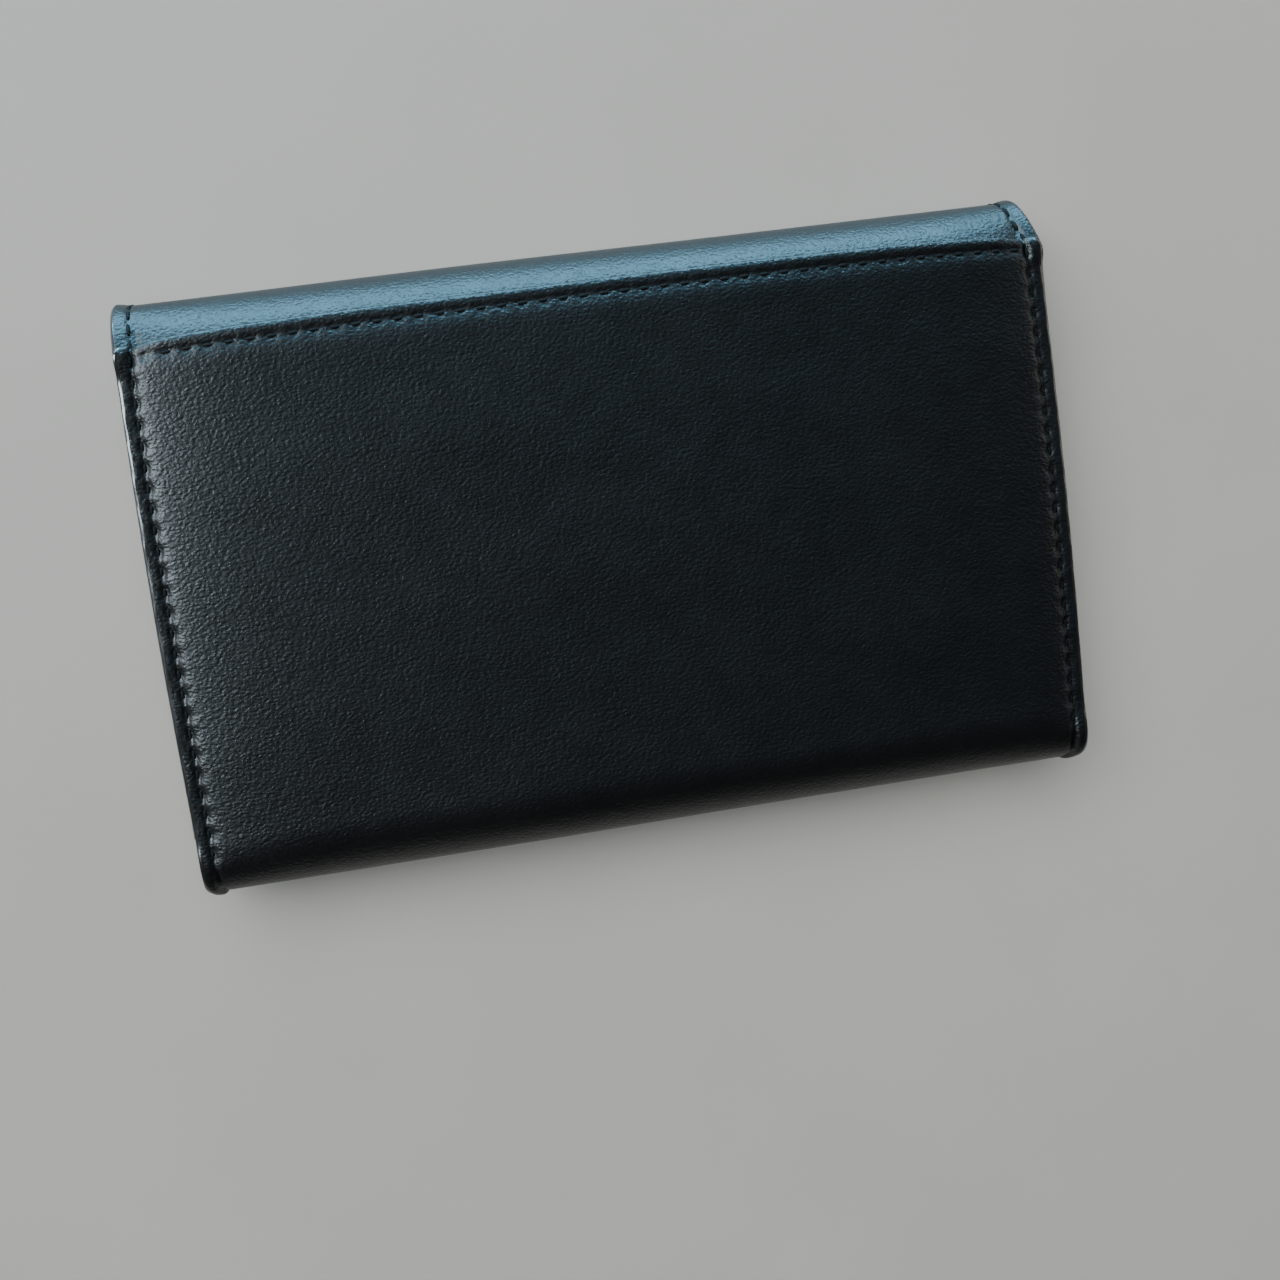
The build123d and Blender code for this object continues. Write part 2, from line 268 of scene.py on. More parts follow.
class Nodes:
    """A material's node tree, with short calls for its procedural parts."""

    def __init__(self, name):
        self.material = bpy.data.materials.new(name)
        self.material.use_nodes = True
        self.tree = self.material.node_tree
        self.shader = self.tree.nodes["Principled BSDF"]
        self.place = self.add("ShaderNodeTexCoord").outputs["Object"]

    def add(self, kind, **settings):
        node = self.tree.nodes.new(kind)
        for key, value in settings.items():
            setattr(node, key, value)
        return node

    def link(self, source, target):
        self.tree.links.new(source, target)

    def stretched(self, scale):
        node = self.add("ShaderNodeMapping")
        node.inputs["Scale"].default_value = scale
        self.link(self.place, node.inputs["Vector"])
        return node.outputs["Vector"]

    def noise(self, scale, detail=2.0, vector=None, colour=False):
        node = self.add("ShaderNodeTexNoise")
        node.inputs["Scale"].default_value = scale
        node.inputs["Detail"].default_value = detail
        self.link(vector or self.place, node.inputs["Vector"])
        return node.outputs[1 if colour else 0]

    def cells(self, scale, vector, feature="F1"):
        node = self.add("ShaderNodeTexVoronoi", feature=feature)
        node.inputs["Scale"].default_value = scale
        self.link(vector, node.inputs["Vector"])
        return node.outputs["Distance"]

    def math(self, operation, a, b=0.0, c=0.0):
        node = self.add("ShaderNodeMath", operation=operation)
        for socket, value in zip(node.inputs, (a, b, c)):
            if isinstance(value, (int, float)):
                socket.default_value = value
            else:
                self.link(value, socket)
        return node.outputs[0]

    def ramp(self, factor, *stops):
        """Colour ramp through (place, grey or colour) stops."""
        node = self.add("ShaderNodeValToRGB")
        ramp = node.color_ramp
        while len(ramp.elements) < len(stops):
            ramp.elements.new(0.5)
        for element, (place, colour) in zip(ramp.elements, stops):
            grey = isinstance(colour, (int, float))
            element.position = place
            element.color = (colour, colour, colour, 1) if grey else (*colour, 1)
        self.link(factor, node.inputs["Fac"])
        return node.outputs["Color"]

    def bump(self, height, depth, strength=1.0, normal=None):
        node = self.add("ShaderNodeBump")
        node.inputs["Strength"].default_value = strength
        node.inputs["Distance"].default_value = depth
        self.link(height, node.inputs["Height"])
        if normal:
            self.link(normal, node.inputs["Normal"])
        return node.outputs["Normal"]

    def finish(self, colour=None, roughness=None, normal=None, **constants):
        inputs = self.shader.inputs
        for socket, source in (
            ("Base Color", colour),
            ("Roughness", roughness),
            ("Normal", normal),
        ):
            if source is not None:
                self.link(source, inputs[socket])
        for key, value in constants.items():
            inputs[key.replace("_", " ")].default_value = value
        return self.material


def leather_material():
    """Smooth black leather: fine pebbled grain, tiny pores and slightly uneven gloss."""
    n = Nodes("leather_black")
    drift = n.add("ShaderNodeVectorMath", operation="MULTIPLY_ADD")
    drift.inputs[1].default_value = (0.0003, 0.0003, 0.0003)
    n.link(n.noise(1500, 2, colour=True), drift.inputs[0])
    n.link(n.stretched((0.8, 1.1, 1.0)), drift.inputs[2])
    pebbles = n.ramp(n.cells(2700, drift.outputs[0], "SMOOTH_F1"), (0.0, 1.0), (0.7, 0.0))
    creases = n.noise(2900, 2, drift.outputs[0])
    folds = n.noise(800, 3, drift.outputs[0])
    height = n.math("MULTIPLY_ADD", creases, 0.7, n.math("MULTIPLY", pebbles, 0.7))
    height = n.math("MULTIPLY_ADD", folds, 0.4, height)
    patches = n.noise(60, 3)
    return n.finish(
        colour=n.ramp(patches, (0.3, (0.0022, 0.0023, 0.0026)), (0.75, (0.0036, 0.0037, 0.004))),
        roughness=n.math("MULTIPLY_ADD", n.noise(260, 3), 0.1, 0.38),
        normal=n.bump(height, 0.072 * MM, 1.0),
        Specular_IOR_Level=0.45,
    )


def edge_material():
    """Painted leather edge: glossy black with small ripples from the brush."""
    n = Nodes("edge_paint")
    ripples = n.noise(900, 3, n.stretched((1.0, 0.35, 1.0)))
    return n.finish(
        colour=n.ramp(n.noise(200, 2), (0.3, 0.008), (0.7, 0.016)),
        roughness=n.math("MULTIPLY_ADD", ripples, 0.12, 0.2),
        normal=n.bump(ripples, 0.03 * MM, 0.4),
        Coat_Weight=0.8,
        Coat_Roughness=0.12,
    )


def twill_material(name, shade, pitch=0.45 * MM):
    """Woven lining: fine diagonal ribs broken up by the yarns."""
    n = Nodes(name)
    wave = n.add("ShaderNodeTexWave", wave_type="BANDS", bands_direction="DIAGONAL")
    wave.inputs["Scale"].default_value = 0.31 / pitch
    wave.inputs["Distortion"].default_value = 1.2
    wave.inputs["Detail"].default_value = 2
    n.link(n.place, wave.inputs["Vector"])
    ribs = wave.outputs["Fac"]
    yarns = n.noise(4200, 2, n.stretched((1.0, 0.3, 1.0)))
    return n.finish(
        colour=n.ramp(n.math("MULTIPLY_ADD", yarns, 0.5, n.math("MULTIPLY", ribs, 0.5)),
                      (0.2, shade * 0.5), (0.8, shade * 1.4)),
        roughness=n.math("MULTIPLY_ADD", yarns, 0.15, 0.75),
        normal=n.bump(n.math("MULTIPLY_ADD", yarns, 0.4, ribs), 0.08 * MM, 0.8),
        Sheen_Weight=0.25,
    )


def thread_material():
    """Waxed black thread with a tight twist."""
    n = Nodes("thread_black")
    twist = n.add("ShaderNodeTexWave", wave_type="BANDS", bands_direction="DIAGONAL")
    twist.inputs["Scale"].default_value = 1500
    twist.inputs["Distortion"].default_value = 0.6
    n.link(n.place, twist.inputs["Vector"])
    return n.finish(
        colour=n.ramp(twist.outputs["Fac"], (0.2, 0.002), (0.9, 0.007)),
        roughness=n.math("MULTIPLY_ADD", n.noise(2500, 2), 0.2, 0.6),
        normal=n.bump(twist.outputs["Fac"], 0.05 * MM, 0.8),
        Specular_IOR_Level=0.15,
    )


def sheet_material():
    """Thin grained sheet of the card pockets, flatter and more matt than the outside."""
    n = Nodes("pocket_sheet")
    grain = n.cells(2600, n.place, "SMOOTH_F1")
    return n.finish(
        colour=n.ramp(n.noise(90, 3), (0.3, 0.012), (0.75, 0.02)),
        roughness=n.math("MULTIPLY_ADD", n.noise(400, 2), 0.12, 0.48),
        normal=n.bump(n.math("MULTIPLY_ADD", n.noise(1800, 2), 0.5, grain), 0.03 * MM, 0.8),
    )


def metal_material(name, shade, low, high, metallic):
    """Pressed metal of the snap, lightly brushed round its axis."""
    n = Nodes(name)
    brushed = n.noise(2600, 3, n.stretched((1.0, 0.2, 1.0)))
    return n.finish(
        colour=n.ramp(brushed, (0.3, shade * 0.8), (0.7, shade)),
        roughness=n.math("MULTIPLY_ADD", brushed, high - low, low),
        normal=n.bump(brushed, 0.008 * MM, 0.5),
        Metallic=metallic,
    )


def filler_material(name, colour, scale, depth):
    """Foam or fibre board between the leather and the lining."""
    n = Nodes(name)
    grit = n.noise(scale, 4)
    dark = tuple(c * 0.7 for c in colour)
    return n.finish(
        colour=n.ramp(grit, (0.35, dark), (0.65, colour)),
        roughness=n.math("MULTIPLY_ADD", grit, 0.1, 0.85),
        normal=n.bump(grit, depth, 0.8),
    )


def floor_material():
    """Plain pale matt floor."""
    n = Nodes("floor_pale")
    speck = n.noise(35, 3)
    return n.finish(
        colour=n.ramp(speck, (0.3, (0.46, 0.44, 0.405)), (0.7, (0.48, 0.46, 0.425))),
        roughness=n.math("MULTIPLY_ADD", speck, 0.1, 0.7),
        normal=n.bump(n.noise(400, 2), 0.02 * MM, 0.2),
    )


LEATHER_BLACK = leather_material()
EDGE_PAINT = edge_material()
LINING = twill_material("lining_twill", 0.02)
GUSSET = twill_material("gusset_cloth", 0.018, 0.3 * MM)
THREAD = thread_material()
POCKET = sheet_material()
STEEL = metal_material("snap_steel", 0.42, 0.2, 0.45, 1.0)
LACQUER = metal_material("snap_lacquer", 0.012, 0.15, 0.3, 0.0)
FOAM = filler_material("foam_grey", (0.2, 0.2, 0.2), 1500, 0.1 * MM)
BOARD = filler_material("fibre_board", (0.25, 0.21, 0.16), 900, 0.05 * MM)
COVER = [LEATHER_BLACK, LINING, EDGE_PAINT]


# ---------------------------------------------------------------- body leather


def body_point(x, s, height):
    """Point of the body's leather at s along its length, this far above the wings' level.

    s runs from 0 where the panel leaves the roll: below 0 over the roll, above 0 down the
    back panel, round the bottom fold and up the front panel.
    """
    x, s, height = np.broadcast_arrays(x, s, height)
    over = np.maximum(-s, 0) / ROLL_WING_R
    turn = np.clip((s - STRAIGHT) / WING_R, 0, math.pi)
    down = np.clip(s, 0, STRAIGHT)
    front = np.maximum(s - STRAIGHT - FOLD_LENGTH, 0)
    rolled = ROLL_WING_R + height
    folded = WING_R + height
    y = np.where(s < 0, ROLL_Y + rolled * np.sin(over), ROLL_Y - down)
    z = np.where(s < 0, ROLL_R + rolled * np.cos(over), WING_Z + height)
    past = s > STRAIGHT
    y = np.where(past, FOLD_Y - folded * np.sin(turn) + front, y)
    z = np.where(past, FOLD_Z + folded * np.cos(turn), z)
    return np.stack([x, y, z], -1)


def fold_share(s):
    """0 on the flat panels, 1 round the middle of the bottom fold."""
    turn = np.clip((s - STRAIGHT) / WING_R, 0, math.pi)
    return smooth(np.minimum(turn, math.pi - turn) / math.radians(60))


def stitch_phase(along):
    """1 in the middle of each stitch, -1 between two stitches."""
    return -np.cos(2 * math.pi * along / STITCH)


def side_height(x, s, pucker=1.0):
    """Height of the padded crown at x, with the side seams' stitches drawn in."""
    d = SEAM_X - np.abs(x)
    pull = pucker * stitch_phase(s) * np.exp(-((d / PULL_REACH) ** 2))
    lifted = np.maximum(d - CROWN_START - CROWN_PULL * pull, 0)
    crown = SEAM_LIFT * (1 - np.exp(-lifted / SEAM_SOFT))
    crown = crown + CROWN * (1 - np.exp(-lifted / CROWN_REACH))
    crown = crown + (CROWN + SEAM_LIFT - crown) * fold_share(s)
    deep = GROOVE_DEPTH + GROOVE_STITCH * pucker * stitch_phase(s) + GROOVE_AT_FOLD * fold_share(s)
    return crown - deep * MM * np.exp(-((d / GROOVE_WIDTH) ** 2))


def seam_distance(x, s, edge, inset):
    """Distance past a seam that runs across the body, inset from the edge at s = edge."""
    return np.abs(s - edge(x)) - inset


def top_edge(x):
    """Where the back panel's folded top edge lies, arched up in its middle."""
    return -EDGE_ANGLE * ROLL_WING_R - EDGE_ARCH * (1 - (x / HALF) ** 2)


def front_edge(x):
    """Where the front panel's folded top edge lies."""
    return FOLD_END + FRONT_LENGTH + 0 * x


def cross_seam_height(x, t, pucker=1.0):
    """Ridge and valley of a cross seam, at t inside its stitch line."""
    phase = pucker * stitch_phase(x)
    pull = phase * np.exp(-((t / VALLEY_REACH) ** 2)) * smooth(t / (0.5 * MM) + 0.8)
    deep = (VALLEY_DEPTH + VALLEY_STITCH * phase) * MM
    width = np.where(t > 0, VALLEY_INSIDE, VALLEY_RIDGE)
    valley = -deep * np.exp(-(((t - VALLEY_PULL * pull) / width) ** 2))
    ends = smooth((SEAM_X - 0.5 * MM - np.abs(x)) / RIDGE_END_REACH)
    rise = RIDGE_RISE * (RIDGE_END_SHARE + (1 - RIDGE_END_SHARE) * ends)
    return valley + rise * np.clip(-t / RIDGE, 0, 1) ** 0.85


def body_height(x, s, pucker=1.0):
    """Height of the body's outer leather above the wings' level."""
    inside = smooth((SEAM_X - np.abs(x)) / PAD_REACH)
    height = side_height(x, s, pucker)
    top_t = seam_distance(x, s, top_edge, RIDGE)
    front_t = seam_distance(x, s, front_edge, RIDGE)
    for t in (top_t, front_t):
        height = height + inside * cross_seam_height(x, t, pucker)
    height = height + inside * 0.1 * MM * wobble(x, s, 3.0)
    wing = 1 - smooth((SEAM_X - np.abs(x)) / (0.5 * MM) + 0.5)
    rough = 0.04 * MM * wobble(x * 3, s, 7.0, 900)
    tab = fold_share(s) * TAB_RISE * smooth((np.abs(x) - SEAM_X) / (0.6 * MM))
    lift = CORNER_LIFT * smooth((1 * MM - s) / CORNER_REACH)
    return height + wing * (rough + lift) + tab


def body_x(x, s):
    """x moved so that the sides bulge and the wings' corners are round at the fold."""
    along = np.clip((s - top_edge(x)) / (STRAIGHT + WING_R), 0, 1)
    bulged = x * (1 + BULGE * (np.sin(math.pi * along) - 0.4) / HALF)
    turn = np.clip((s - STRAIGHT) / WING_R, 0, math.pi)
    reach = WING_R + CROWN + SEAM_LIFT + TAB_RISE
    to_bottom = reach * (1 - np.sin(turn))
    inset = np.where(
        s > STRAIGHT,
        CORNER * (1 - rounded(to_bottom + 0.15 * MM, CORNER)),
        0,
    )
    inset = inset + TOP_CORNER * (1 - rounded(s - top_edge(x) + 0.1 * MM, TOP_CORNER))
    wing = np.clip((np.abs(x) - SEAM_X + PAD_REACH) / (SEAM_INSET + PAD_REACH), 0, 1)
    return bulged - np.sign(x) * inset * wing


def body_columns(step):
    """Stations across the body, closest at the painted edges and the side seams."""
    corner = [EDGE_ROUND * (1 - math.cos(k * math.pi / 12)) for k in range(6)]
    side = steps((EDGE_ROUND, 0.2 * MM), (3.6 * MM, 0.3 * MM), (6 * MM, step), (HALF, step))
    inset = np.concatenate([corner, side])
    return np.concatenate([inset - HALF, (HALF - inset[:-1])[::-1]])


def body_shell(name, columns, s, edge=None, pucker=1.0):
    """Leather of the body over stations s, which may differ by column, and its lining side.

    edge is the folded edge's function where the piece has one.
    """
    x = columns[None, :]
    s = s if s.ndim == 2 else s[:, None] + 0 * x
    height = body_height(x, s, pucker)
    inside = smooth((SEAM_X - np.abs(x)) / (1.5 * MM))
    thick = WING_THICK + (LEATHER - WING_THICK) * inside
    thick = thick - (1 - inside) * WING_SKIVE * smooth((1 * MM - s) / CORNER_REACH)
    share = rounded(HALF - np.abs(x), EDGE_ROUND) + 0 * s
    if edge:
        share = share * rounded(np.abs(s - edge(x)), TURN_ROUND)
    middle = height - thick / 2
    across = body_x(x + 0 * s, s)
    outer = body_point(across, s, middle + share * thick / 2)
    inner = body_point(across, s, middle - share * thick / 2)
    return shell(name, outer, inner, COVER, RIM_COLUMNS)


def level_stations(columns, levels):
    """s for each column where the leather round the fold passes these heights."""
    x = columns[None, :]
    s = np.full((len(levels), len(columns)), STRAIGHT + FOLD_LENGTH / 2)
    for _ in range(6):
        reach = WING_R + body_height(x, s)
        turn = np.arccos(np.clip((levels[:, None] - FOLD_Z) / reach, -1, 1))
        s = STRAIGHT + turn * WING_R
    return s


def edge_stations():
    """Distances in from a folded edge, closest where it is rounded."""
    corner = [TURN_ROUND * (1 - math.cos(k * math.pi / 14)) for k in range(7)]
    seam = steps((TURN_ROUND, 0.13 * MM), (2.6 * MM, 0.5 * MM))
    return np.concatenate([corner, seam])[:, None]


def make_back_cover(columns):
    """Padded back cover, from its folded top edge down to the start of the bottom fold."""
    edge = top_edge(columns)[None, :] + edge_stations()
    flat = edge[-1:] + np.linspace(0, 1, 131)[1:, None] * (STRAIGHT - edge[-1:])
    fold_top = level_stations(columns, np.array([LEVELS[-1]]))
    turn = STRAIGHT + np.linspace(0, 1, 15)[1:, None] * (fold_top - STRAIGHT)
    rows = np.concatenate([edge, flat, turn, turn[-1:] + SLIVER])
    piece = body_shell("back_cover", columns, rows, top_edge)
    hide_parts("back_panel")
    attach(piece, "back")


def make_bottom_fold(columns):
    """Bending pieces of the bottom fold, one between each body and the next."""
    for k in range(len(BODIES) - 1, 0, -1):
        high, low = LEVELS[k], LEVELS[k - 1]
        rows = level_stations(columns, np.linspace(high, low, 6))
        rows = np.concatenate([rows[:1] - SLIVER, rows, rows[-1:] + SLIVER])
        piece = body_shell(f"bottom_fold_{k}", columns, rows)
        if k == 4:
            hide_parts("bottom_fold")
        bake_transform(piece)


def make_front_cover(columns):
    """Padded front cover, from the end of the bottom fold to its own folded top edge."""
    fold_low = level_stations(columns, np.array([LEVELS[0]]))
    turn = fold_low + np.linspace(0, 1, 11)[:, None] * (FOLD_END - fold_low)
    last = front_edge(columns)[None, :] - edge_stations()[::-1]
    flat = FOLD_END + np.linspace(0, 1, 61)[1:-1, None] * (last[:1] - FOLD_END)
    rows = np.concatenate([turn[:1] - SLIVER, turn, flat, last])
    piece = body_shell("front_cover", columns, rows, front_edge, 0.5)
    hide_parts("front_panel")
    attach(piece, "front")


# ---------------------------------------------------------------- flap leather


FLAP_ROUND = 0.62 * MM
FLAP_ARC = math.pi * ROLL_R
FLAP_LEAF = ROLL_Y - FLAP_TIP_Y
FLAP_SEAM = 2.1 * MM
FLAP_CORNER = 9.0 * MM
FLAP_TAPER = 4.2 * MM
LEFT_FLARE = 1.35 * MM
RIGHT_FLARE = 1.95 * MM
WING_CLEARANCE = 0.06 * MM
FLAP_GROOVE = 0.2 * MM
EDGE_FLARE = 0.35 * MM


def flap_edge(a, side):
    """Half width of the flap at a along its length, on its left (-1) or right (1)."""
    turn = np.clip(a / ROLL_R, 0, math.pi)
    leaf = np.clip((a - FLAP_ARC) / FLAP_LEAF, 0, 1)
    if side < 0:
        wide = LEFT_FLARE * (1 - smooth((turn - 1.6) / 0.9))
    else:
        wide = RIGHT_FLARE * np.exp(-((turn / 0.85) ** 2))
    taper = FLAP_TAPER * leaf
    into = np.clip((a - FLAP_ARC - FLAP_LEAF + FLAP_CORNER) / FLAP_CORNER, 0, 1)
    tip = FLAP_CORNER * (1 - np.sqrt(np.maximum(0, 1 - into**2)))
    return FLAP_HALF + wide - taper - tip


def flap_across(x, a):
    """x of a column, stretched to the flap's width at a."""
    left, right = flap_edge(a, -1), flap_edge(a, 1)
    return np.where(x < 0, x * left / FLAP_HALF, x * right / FLAP_HALF)


def flap_point(x, a, height):
    """Point of the flap's leather at a along it, this far outside its outer face.

    a is 0 at the top of the roll. It runs round the roll, then along the leaf below.
    """
    x, a, height = np.broadcast_arrays(x, a, height)
    turn = np.clip(a / ROLL_R, 0, math.pi)
    under = ROLL_WING_R + side_height(np.minimum(np.abs(x), SEAM_X), 0 * x, 0) - LEATHER
    ends = smooth((np.abs(x) - SEAM_X + 1 * MM) / (1 * MM))
    under = under + (CORNER_LIFT + 0.5 * MM) * ends * smooth((a + 0 * x + 0.5 * MM) / (3 * MM))
    step = under - WING_CLEARANCE - ROLL_R
    low, high = np.minimum(step, 0), np.maximum(step, 0)
    rise = 1 - smooth((turn - EDGE_ANGLE) / math.radians(50))
    fall = 1 - smooth((turn - EDGE_ANGLE) / math.radians(60))
    radius = ROLL_R + low * rise + high * fall + height
    leaf = np.maximum(a - FLAP_ARC, 0)
    y = np.where(a < 0, ROLL_Y + a, ROLL_Y + radius * np.sin(turn) - leaf)
    return np.stack([x, y, ROLL_R + radius * np.cos(turn)], -1)


def flap_height(x, a):
    """Grooves of the flap's seam and slow unevenness, outside its outer face."""
    turn = np.clip(a / ROLL_R, 0, math.pi)
    d = FLAP_HALF - np.abs(x) - FLAP_SEAM
    phase = np.cos(2 * math.pi * a / STITCH)
    groove = -FLAP_GROOVE * np.exp(-((d / (0.3 * MM)) ** 2)) * (1 + 0.4 * phase)
    seen = np.sin(turn) ** 2
    flare = EDGE_FLARE * seen * smooth((np.abs(x) - FLAP_HALF + 3 * MM) / (3 * MM))
    uneven = seen * 0.12 * MM * wobble(x, a, 5.0, 60)
    sunk = 0.05 * MM * smooth((a - FLAP_ARC) / (2 * MM))
    return groove + flare + uneven - sunk


def flap_columns():
    """Stations across the flap, closest at its painted edges."""
    corner = [FLAP_ROUND * (1 - math.cos(k * math.pi / 12)) for k in range(6)]
    side = steps((FLAP_ROUND, 0.2 * MM), (3.0 * MM, 0.5 * MM), (6 * MM, 1.5 * MM), (FLAP_HALF, 1))
    inset = np.concatenate([corner, side])
    return np.concatenate([inset - FLAP_HALF, (FLAP_HALF - inset[:-1])[::-1]])


def flap_shell(name, a, tip=False):
    """Leather and lining of the flap over stations a."""
    columns = flap_columns()
    x = columns[None, :]
    a = a[:, None] + 0 * x
    share = rounded(FLAP_HALF - np.abs(x), FLAP_ROUND) + 0 * a
    if tip:
        share = share * rounded(FLAP_ARC + FLAP_LEAF - a, FLAP_ROUND)
    height = flap_height(x, a)
    across = flap_across(x + 0 * a, a)
    outer = flap_point(across, a, height - (1 - share) * FLAP_THICK / 2)
    inner = flap_point(across, a, -FLAP_THICK + (1 - share) * FLAP_THICK / 2)
    return shell(name, outer, inner, COVER, RIM_COLUMNS)


def joint_angle(name):
    """Angle of a roll joint from the top of the roll, towards +Y."""
    _, y, z = JOINTS[name]["pos_m"]
    return math.atan2(y - ROLL_Y, z - ROLL_R)


def roll_parts():
    """(first angle, last angle, first body, second body) of each bending part of the roll."""
    angles = [joint_angle(name) for name in ROLL_JOINTS]
    cuts = [EDGE_ANGLE + 0.02]
    cuts += [(a + b) / 2 for a, b in zip(angles, angles[1:])] + [math.pi]
    parts = []
    for k, name in enumerate(ROLL_JOINTS):
        parts.append((cuts[k], cuts[k + 1], JOINTS[name]["parent"], JOINTS[name]["child"]))
    return parts


def bend(piece):
    """Bakes a piece of the roll's placement into its mesh."""
    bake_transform(piece)


def make_flap():
    """Tail under the back panel, bending parts of the roll and the leaf."""
    parts = roll_parts()
    start = parts[0][0] * ROLL_R
    tail = flap_shell("flap_tail_leather", capped(
        steps((TAIL_Y - ROLL_Y, 1 * MM), (0, 0.6 * MM), (start, 0.6 * MM)), True, True))
    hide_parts("flap_tail")
    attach(tail, "back")
    for k, part in enumerate(parts, 1):
        first, last = part[0] * ROLL_R, part[1] * ROLL_R
        piece = flap_shell(f"flap_roll_{k}", capped(steps((first, 0.3 * MM), (last, 1)), True, True))
        if k < len(parts):
            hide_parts(f"flap_spine_{k}", f"spine_lining_{k}")
        bend(piece)
    tip = FLAP_ARC + FLAP_LEAF
    rows = steps((FLAP_ARC, 0.6 * MM), (tip - FLAP_CORNER, 0.4 * MM), (tip - FLAP_ROUND, 1))
    corner = [tip - FLAP_ROUND * (1 - math.cos(k * math.pi / 12)) for k in range(5, -1, -1)]
    leaf = flap_shell("flap_leaf", capped(np.concatenate([rows, corner]), True, False), True)
    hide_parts("flap_leather", "flap_lining", "flap_board")
    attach(leaf, "flap")


# ---------------------------------------------------------------- stitches


THREAD_LENGTH = 1.7 * MM
THREAD_WIDTH = 0.26 * MM
THREAD_HEIGHT = 0.2 * MM
THREAD_DIP = 0.16 * MM
TANGENT_REACH = 0.8 * MM


def stitch_mesh(name, places):
    """Short threads, each lying at a point along a tangent, arched over a normal."""
    rings, sides = 7, 8
    vertices, faces = [], []
    for point, tangent, normal in places:
        point, tangent, normal = (np.array(v, float) for v in (point, tangent, normal))
        tangent = tangent / np.linalg.norm(tangent)
        normal = normal - tangent * (normal @ tangent)
        normal = normal / np.linalg.norm(normal)
        across = np.cross(tangent, normal)
        base = len(vertices)
        for i in range(rings):
            t = -math.cos(math.pi * i / (rings - 1))
            girth = max(0.12, math.sqrt(max(0, 1 - t**4)))
            centre = point + tangent * (t * THREAD_LENGTH / 2) - normal * (THREAD_DIP * t * t)
            for k in range(sides):
                a = 2 * math.pi * k / sides
                out = across * (THREAD_WIDTH * math.cos(a)) + normal * (THREAD_HEIGHT * math.sin(a))
                vertices.append(centre + girth * out)
        for i in range(rings - 1):
            for k in range(sides):
                n = (k + 1) % sides
                a, b = base + i * sides, base + (i + 1) * sides
                faces.append((a + k, a + n, b + n, b + k))
        faces.append(tuple(base + k for k in range(sides))[::-1])
        faces.append(tuple(base + (rings - 1) * sides + k for k in range(sides)))
    piece = make_object(name, vertices, faces, [THREAD])
    return piece


def body_place(x, s, along_x, lift=0.02 * MM):
    """Place of a stitch on the body's leather at x and s."""

    def at(x, s, up):
        moved = body_x(np.array(x), np.array(s))
        return body_point(moved, s, body_height(np.array(x), np.array(s)) + up)

    d = TANGENT_REACH
    if along_x:
        tangent = at(x + d, s, 0) - at(x - d, s, 0)
    else:
        tangent = at(x, s + d, 0) - at(x, s - d, 0)
    return at(x, s, lift), tangent, at(x, s, 1 * MM) - at(x, s, 0)


def flap_place(x, a, lift=0.03 * MM, inside=False):
    """Place of a stitch on the flap's leather at x and a."""

    def at(x, a, up):
        height = np.array(-FLAP_THICK) if inside else flap_height(np.array(x), np.array(a))
        across = flap_across(np.array(x), np.array(a))
        return flap_point(across, np.array(a), height + (-up if inside else up))

    tangent = at(x, a + TANGENT_REACH, 0) - at(x, a - TANGENT_REACH, 0)
    return at(x, a, lift), tangent, at(x, a, 1 * MM) - at(x, a, 0)


def make_body_stitches():
    """Threads of the body's top, side and front seams."""
    reach = int((SEAM_X - 1.6 * MM) / STITCH)
    top = []
    for k in range(-reach, reach + 1):
        x = (k + 0.5) * STITCH
        if abs(x) < SEAM_X - 1 * MM:
            s = float(top_edge(np.array(x))) + RIDGE + 0.1 * MM
            top.append(body_place(x, s, True))
    piece = stitch_mesh("top_stitches", top)
    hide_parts("top_seam_thread")
    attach(piece, "back")
    first = math.ceil((-EDGE_ANGLE * ROLL_WING_R + RIDGE) / STITCH)
    last = int((STRAIGHT + math.radians(40) * WING_R) / STITCH)
    for side, name in ((-1, "left"), (1, "right")):
        places = []
        for k in range(first, last + 1):
            places.append(body_place(side * SEAM_X, (k - 0.5) * STITCH, False))
        piece = stitch_mesh(f"{name}_stitches", places)
        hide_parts(f"{name}_seam_thread")
        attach(piece, "back")
    places = []
    for side in (-1, 1):
        for k in range(int((FRONT_LENGTH - RIDGE) / STITCH)):
            places.append(body_place(side * SEAM_X, FOLD_END + (k + 0.5) * STITCH, False))
    for k in range(-reach, reach):
        places.append(body_place((k + 0.5) * STITCH, FOLD_END + FRONT_LENGTH - RIDGE, True))
    piece = stitch_mesh("front_stitches", places)
    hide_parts("front_seam_thread")
    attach(piece, "front")


def make_flap_stitches():
    """Threads along the flap's sides: on the bending parts of its roll and on its leaf."""
    seam = FLAP_HALF - FLAP_SEAM
    for k, part in enumerate(roll_parts(), 1):
        places = []
        low, high = part[0] * ROLL_R / STITCH, part[1] * ROLL_R / STITCH
        for n in range(math.ceil(low + 0.5), int(high + 0.5) + 1):
            for side in (-1, 1):
                places.append(flap_place(side * seam, (n - 0.5) * STITCH))
        bend(stitch_mesh(f"roll_stitches_{k}", places))
    places = []
    for n in range(int((FLAP_LEAF - FLAP_CORNER) / STITCH)):
        a = FLAP_ARC + (n + 0.5) * STITCH
        for side in (-1, 1):
            for inside in (False, True):
                places.append(flap_place(side * seam, a, 0.04 * MM, inside))
    piece = stitch_mesh("flap_stitches", places)
    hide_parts("flap_seam_thread")
    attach(piece, "flap")


# ---------------------------------------------------------------- inside


